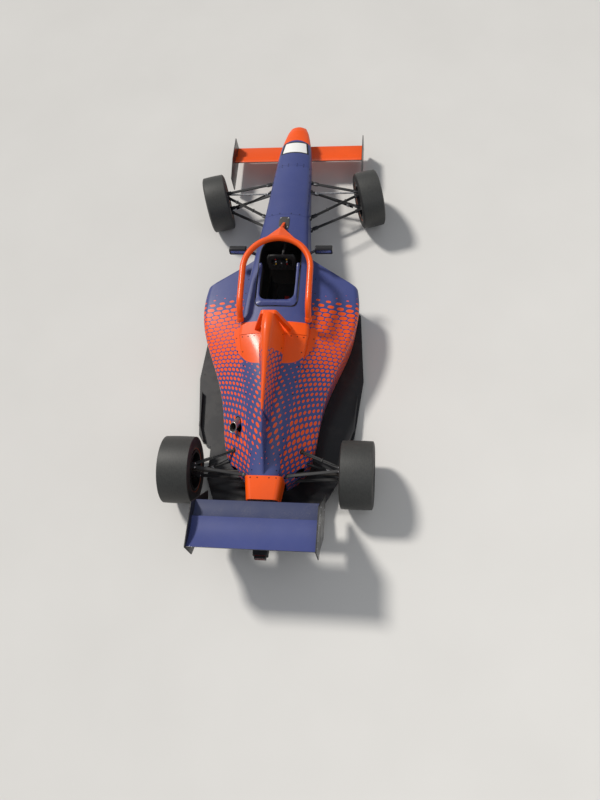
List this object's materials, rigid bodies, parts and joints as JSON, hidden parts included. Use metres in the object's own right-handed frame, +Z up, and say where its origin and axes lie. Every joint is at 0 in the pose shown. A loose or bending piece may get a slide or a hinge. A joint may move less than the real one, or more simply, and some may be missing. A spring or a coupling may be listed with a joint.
{
  "type": "open wheel racing car",
  "caption": "Single seat open wheel racing car with a cockpit guard ring, front and rear wings, side pods, pushrod suspension and steered slick tyres.",
  "frame": {"origin": "on the ground, on the car's centre plane, midway between the foremost and the rearmost point", "axes": "+X forwards, +Y to the car's left, +Z up"},
  "size_m": [4.707, 1.9022, 1.0201],
  "materials": {
    "body_paint": "gloss",
    "accent_paint": "gloss",
    "carbon": "satin",
    "tyre_rubber": "matte",
    "dark_metal": "satin",
    "disc_metal": "matte",
    "bare_metal": "satin",
    "cast_metal": "matte",
    "grip_plastic": "matte",
    "padding": "matte",
    "lamp_lens": "gloss"
  },
  "bodies": {
    "chassis": {"monocoque": "body_paint", "front_hatch": "body_paint", "nose_cone": "body_paint", "front_wing_main": "accent_paint", "front_wing_flap": "accent_paint", "front_endplates": "carbon", "front_wing_pylons": "carbon", "halo": "accent_paint", "headrest": "padding", "seat": "padding", "dash_panel": "carbon", "roll_hoop": "accent_paint", "engine_cover": "body_paint", "airbox": "accent_paint", "sidepod_left": "body_paint", "sidepod_right": "body_paint", "radiators": "cast_metal", "floor": "carbon", "engine_block": "cast_metal", "gearbox": "cast_metal", "tail_cover": "accent_paint", "crash_box": "carbon", "rain_light": "lamp_lens", "exhaust_outlet": "bare_metal", "rear_wing_main": "body_paint", "rear_wing_flap": "body_paint", "rear_endplates": "carbon", "rear_wing_supports": "carbon", "mirrors": "carbon", "front_wishbones": "carbon", "rear_wishbones": "carbon", "rear_uprights": "cast_metal"},
    "knuckle_left": {"front_upright_left": "cast_metal"},
    "knuckle_right": {"front_upright_right": "cast_metal"},
    "wheel_front_left": {"tyre_front_left": "tyre_rubber", "rim_front_left": "dark_metal", "disc_front_left": "disc_metal"},
    "wheel_front_right": {"tyre_front_right": "tyre_rubber", "rim_front_right": "dark_metal", "disc_front_right": "disc_metal"},
    "wheel_rear_left": {"tyre_rear_left": "tyre_rubber", "rim_rear_left": "dark_metal", "disc_rear_left": "disc_metal"},
    "wheel_rear_right": {"tyre_rear_right": "tyre_rubber", "rim_rear_right": "dark_metal", "disc_rear_right": "disc_metal"},
    "rack": {"steering_rack": "bare_metal"},
    "hand_wheel": {"steering_wheel": "grip_plastic", "steering_column": "bare_metal"}
  },
  "joints": [
    {"name": "steer_left", "type": "hinge", "parent": "chassis", "child": "knuckle_left", "pos_m": [1.3965, 0.72, 0.28], "axis": [0, 0, 1], "range_deg": [-35, 5]},
    {"name": "steer_right", "type": "hinge", "parent": "chassis", "child": "knuckle_right", "pos_m": [1.3965, -0.72, 0.28], "axis": [0, 0, 1], "range_deg": [-35, 5]},
    {"name": "rack_slide", "type": "slide", "parent": "chassis", "child": "rack", "axis": [0, 1, 0], "range_m": [-0.067, 0.0098]},
    {"name": "steering_wheel_turn", "type": "hinge", "parent": "chassis", "child": "hand_wheel", "pos_m": [0.4365, 0, 0.59], "axis": [-0.9597, 0, 0.2809], "range_deg": [-421, 61]},
    {"name": "spin_front_left", "type": "hinge", "parent": "knuckle_left", "child": "wheel_front_left", "pos_m": [1.38097, 0.77796, 0.28], "axis": [-0.2588, 0.9659, 0], "continuous": true},
    {"name": "spin_front_right", "type": "hinge", "parent": "knuckle_right", "child": "wheel_front_right", "pos_m": [1.41203, -0.77796, 0.28], "axis": [-0.2588, 0.9659, 0], "continuous": true},
    {"name": "spin_rear_left", "type": "hinge", "parent": "chassis", "child": "wheel_rear_left", "pos_m": [-1.5535, 0.775, 0.295], "axis": [0, 1, 0], "continuous": true},
    {"name": "spin_rear_right", "type": "hinge", "parent": "chassis", "child": "wheel_rear_right", "pos_m": [-1.5535, -0.775, 0.295], "axis": [0, 1, 0], "continuous": true}
  ],
  "couplings": [
    {"joint": "steer_right", "follows": "steer_left", "ratio": 1},
    {"joint": "rack_slide", "follows": "steer_left", "m_per_rad": 0.1078},
    {"joint": "steering_wheel_turn", "follows": "steer_left", "ratio": 12}
  ]
}
